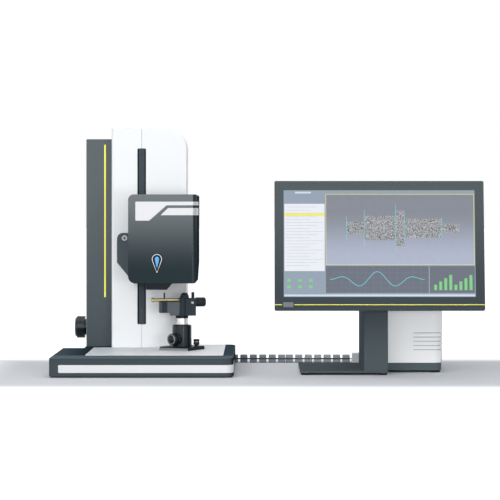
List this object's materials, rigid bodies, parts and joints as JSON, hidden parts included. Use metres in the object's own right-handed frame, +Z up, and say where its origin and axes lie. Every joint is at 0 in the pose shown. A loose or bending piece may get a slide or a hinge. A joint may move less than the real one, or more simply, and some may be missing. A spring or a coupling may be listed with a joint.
{
  "type": "optical inspection machine",
  "caption": "Optical measuring instrument with a sliding head on a tower, a stage with a rotary fixture, and a monitor and controller joined to it by a cable spine.",
  "frame": {"origin": "centre of the whole object's box, on the surface that it stands on", "axes": "+X to the right along the front, from the instrument to the monitor; +Y from the front to the back; +Z up"},
  "size_m": [1.2136, 0.628, 0.714],
  "materials": {
    "casting_paint": "fine textured satin",
    "head_paint": "satin",
    "white_paint": "smooth satin",
    "white_inlay": "semi-gloss",
    "stage_paint": "satin",
    "machined_steel": "ground",
    "frame_iron": "painted",
    "black_anodised": "black anodised",
    "block_finish": "blackened",
    "post_finish": "glossy black",
    "bright_steel": "polished",
    "blue_lens": "clear blue",
    "yellow_trim": "semi-gloss",
    "rubber": "matt",
    "knob_plastic": "satin black",
    "brass": "drawn",
    "monitor_plastic": "fine grained",
    "screen": "anti-glare",
    "slab_paint": "satin",
    "link_plastic": "satin"
  },
  "bodies": {
    "base": {"base_casting": "casting_paint", "base_bottom_plate": "frame_iron", "rubber_feet": "rubber", "base_band": "white_inlay", "stage_plate": "stage_paint", "stage_screws": "machined_steel", "tower_frame": "frame_iron", "tower_cover_left": "white_paint", "tower_cover_right": "white_paint", "tower_rear_panel": "white_paint", "slot_lips": "rubber", "linear_rails": "machined_steel", "shaft_bearings": "machined_steel", "column_housing": "casting_paint", "accent_strip": "yellow_trim", "fixture_lower_plate": "stage_paint", "fixture_upper_plate": "black_anodised", "fixture_post": "post_finish", "post_slab": "slab_paint", "foot_plate": "slab_paint", "controller_cover": "white_paint", "controller_plinth": "monitor_plastic", "hinge_lug": "frame_iron", "hinge_pin": "machined_steel", "cable_duct": "slab_paint", "spine_links": "link_plastic", "spine_ends": "stage_paint"},
    "head": {"rail_blocks": "machined_steel", "carriage_plate": "frame_iron", "head_arm": "frame_iron", "screw_nut": "machined_steel", "head_front_shell": "head_paint", "head_rear_shell": "head_paint", "head_stripes": "white_inlay", "indicator_bezel": "bright_steel", "indicator_lens": "blue_lens", "camera_body": "black_anodised", "lens_barrel": "black_anodised", "light_housing": "black_anodised", "side_bracket": "head_paint", "bracket_screw": "machined_steel"},
    "lifting_screw": {"lead_screw": "machined_steel", "screw_gear": "machined_steel"},
    "hand_knob": {"height_knob": "knob_plastic", "knob_shaft": "machined_steel", "shaft_gear": "machined_steel"},
    "rotary_head": {"spindle": "bright_steel", "spindle_collar": "black_anodised", "main_block": "block_finish", "vee_jaw": "block_finish", "fixture_screws": "machined_steel"},
    "sample": {"sample_tool": "brass"},
    "barrel": {"barrel_knob": "block_finish"},
    "clamp": {"clamp_knob": "post_finish"},
    "lock": {"lock_knob": "black_anodised"},
    "monitor": {"monitor_bezel": "monitor_plastic", "screen_panel": "screen", "monitor_trim": "yellow_trim", "monitor_back": "monitor_plastic", "tilt_bracket": "frame_iron"}
  },
  "joints": [
    {"name": "head_slide", "type": "slide", "parent": "base", "child": "head", "axis": [0, 0, 1], "range_m": [-0.005, 0.15]},
    {"name": "screw_turn", "type": "hinge", "parent": "base", "child": "lifting_screw", "pos_m": [-0.3703, 0.244, 0.3], "axis": [0, 0, 1], "range_deg": [-5405, 185]},
    {"name": "knob_turn", "type": "hinge", "parent": "base", "child": "hand_knob", "pos_m": [-0.55, 0.244, 0.113], "axis": [1, 0, 0], "range_deg": [-5405, 185]},
    {"name": "fixture_swivel", "type": "hinge", "parent": "base", "child": "rotary_head", "pos_m": [-0.246, 0.048, 0.145], "axis": [0, 0, 1], "range_deg": [-70, 150]},
    {"name": "sample_turn", "type": "hinge", "parent": "rotary_head", "child": "sample", "pos_m": [-0.246, 0.048, 0.2046], "axis": [0.9848, 0.1736, 0], "continuous": true},
    {"name": "barrel_turn", "type": "hinge", "parent": "rotary_head", "child": "barrel", "pos_m": [-0.246, 0.048, 0.198], "axis": [0.9848, 0.1736, 0], "continuous": true},
    {"name": "clamp_turn", "type": "hinge", "parent": "base", "child": "clamp", "pos_m": [-0.246, 0.048, 0.09], "axis": [-0.6157, -0.788, 0], "range_deg": [0, 360]},
    {"name": "lock_turn", "type": "hinge", "parent": "base", "child": "lock", "pos_m": [-0.20383, 0.061, 0.08], "axis": [0, 0, 1], "range_deg": [0, 360]},
    {"name": "monitor_tilt", "type": "hinge", "parent": "base", "child": "monitor", "pos_m": [0.3153, -0.19822, 0.372], "axis": [1, 0, 0], "range_deg": [-13, 12]}
  ],
  "couplings": [
    {"joint": "screw_turn", "follows": "head_slide", "rad_per_m": -628.32},
    {"joint": "knob_turn", "follows": "head_slide", "rad_per_m": -628.32}
  ]
}
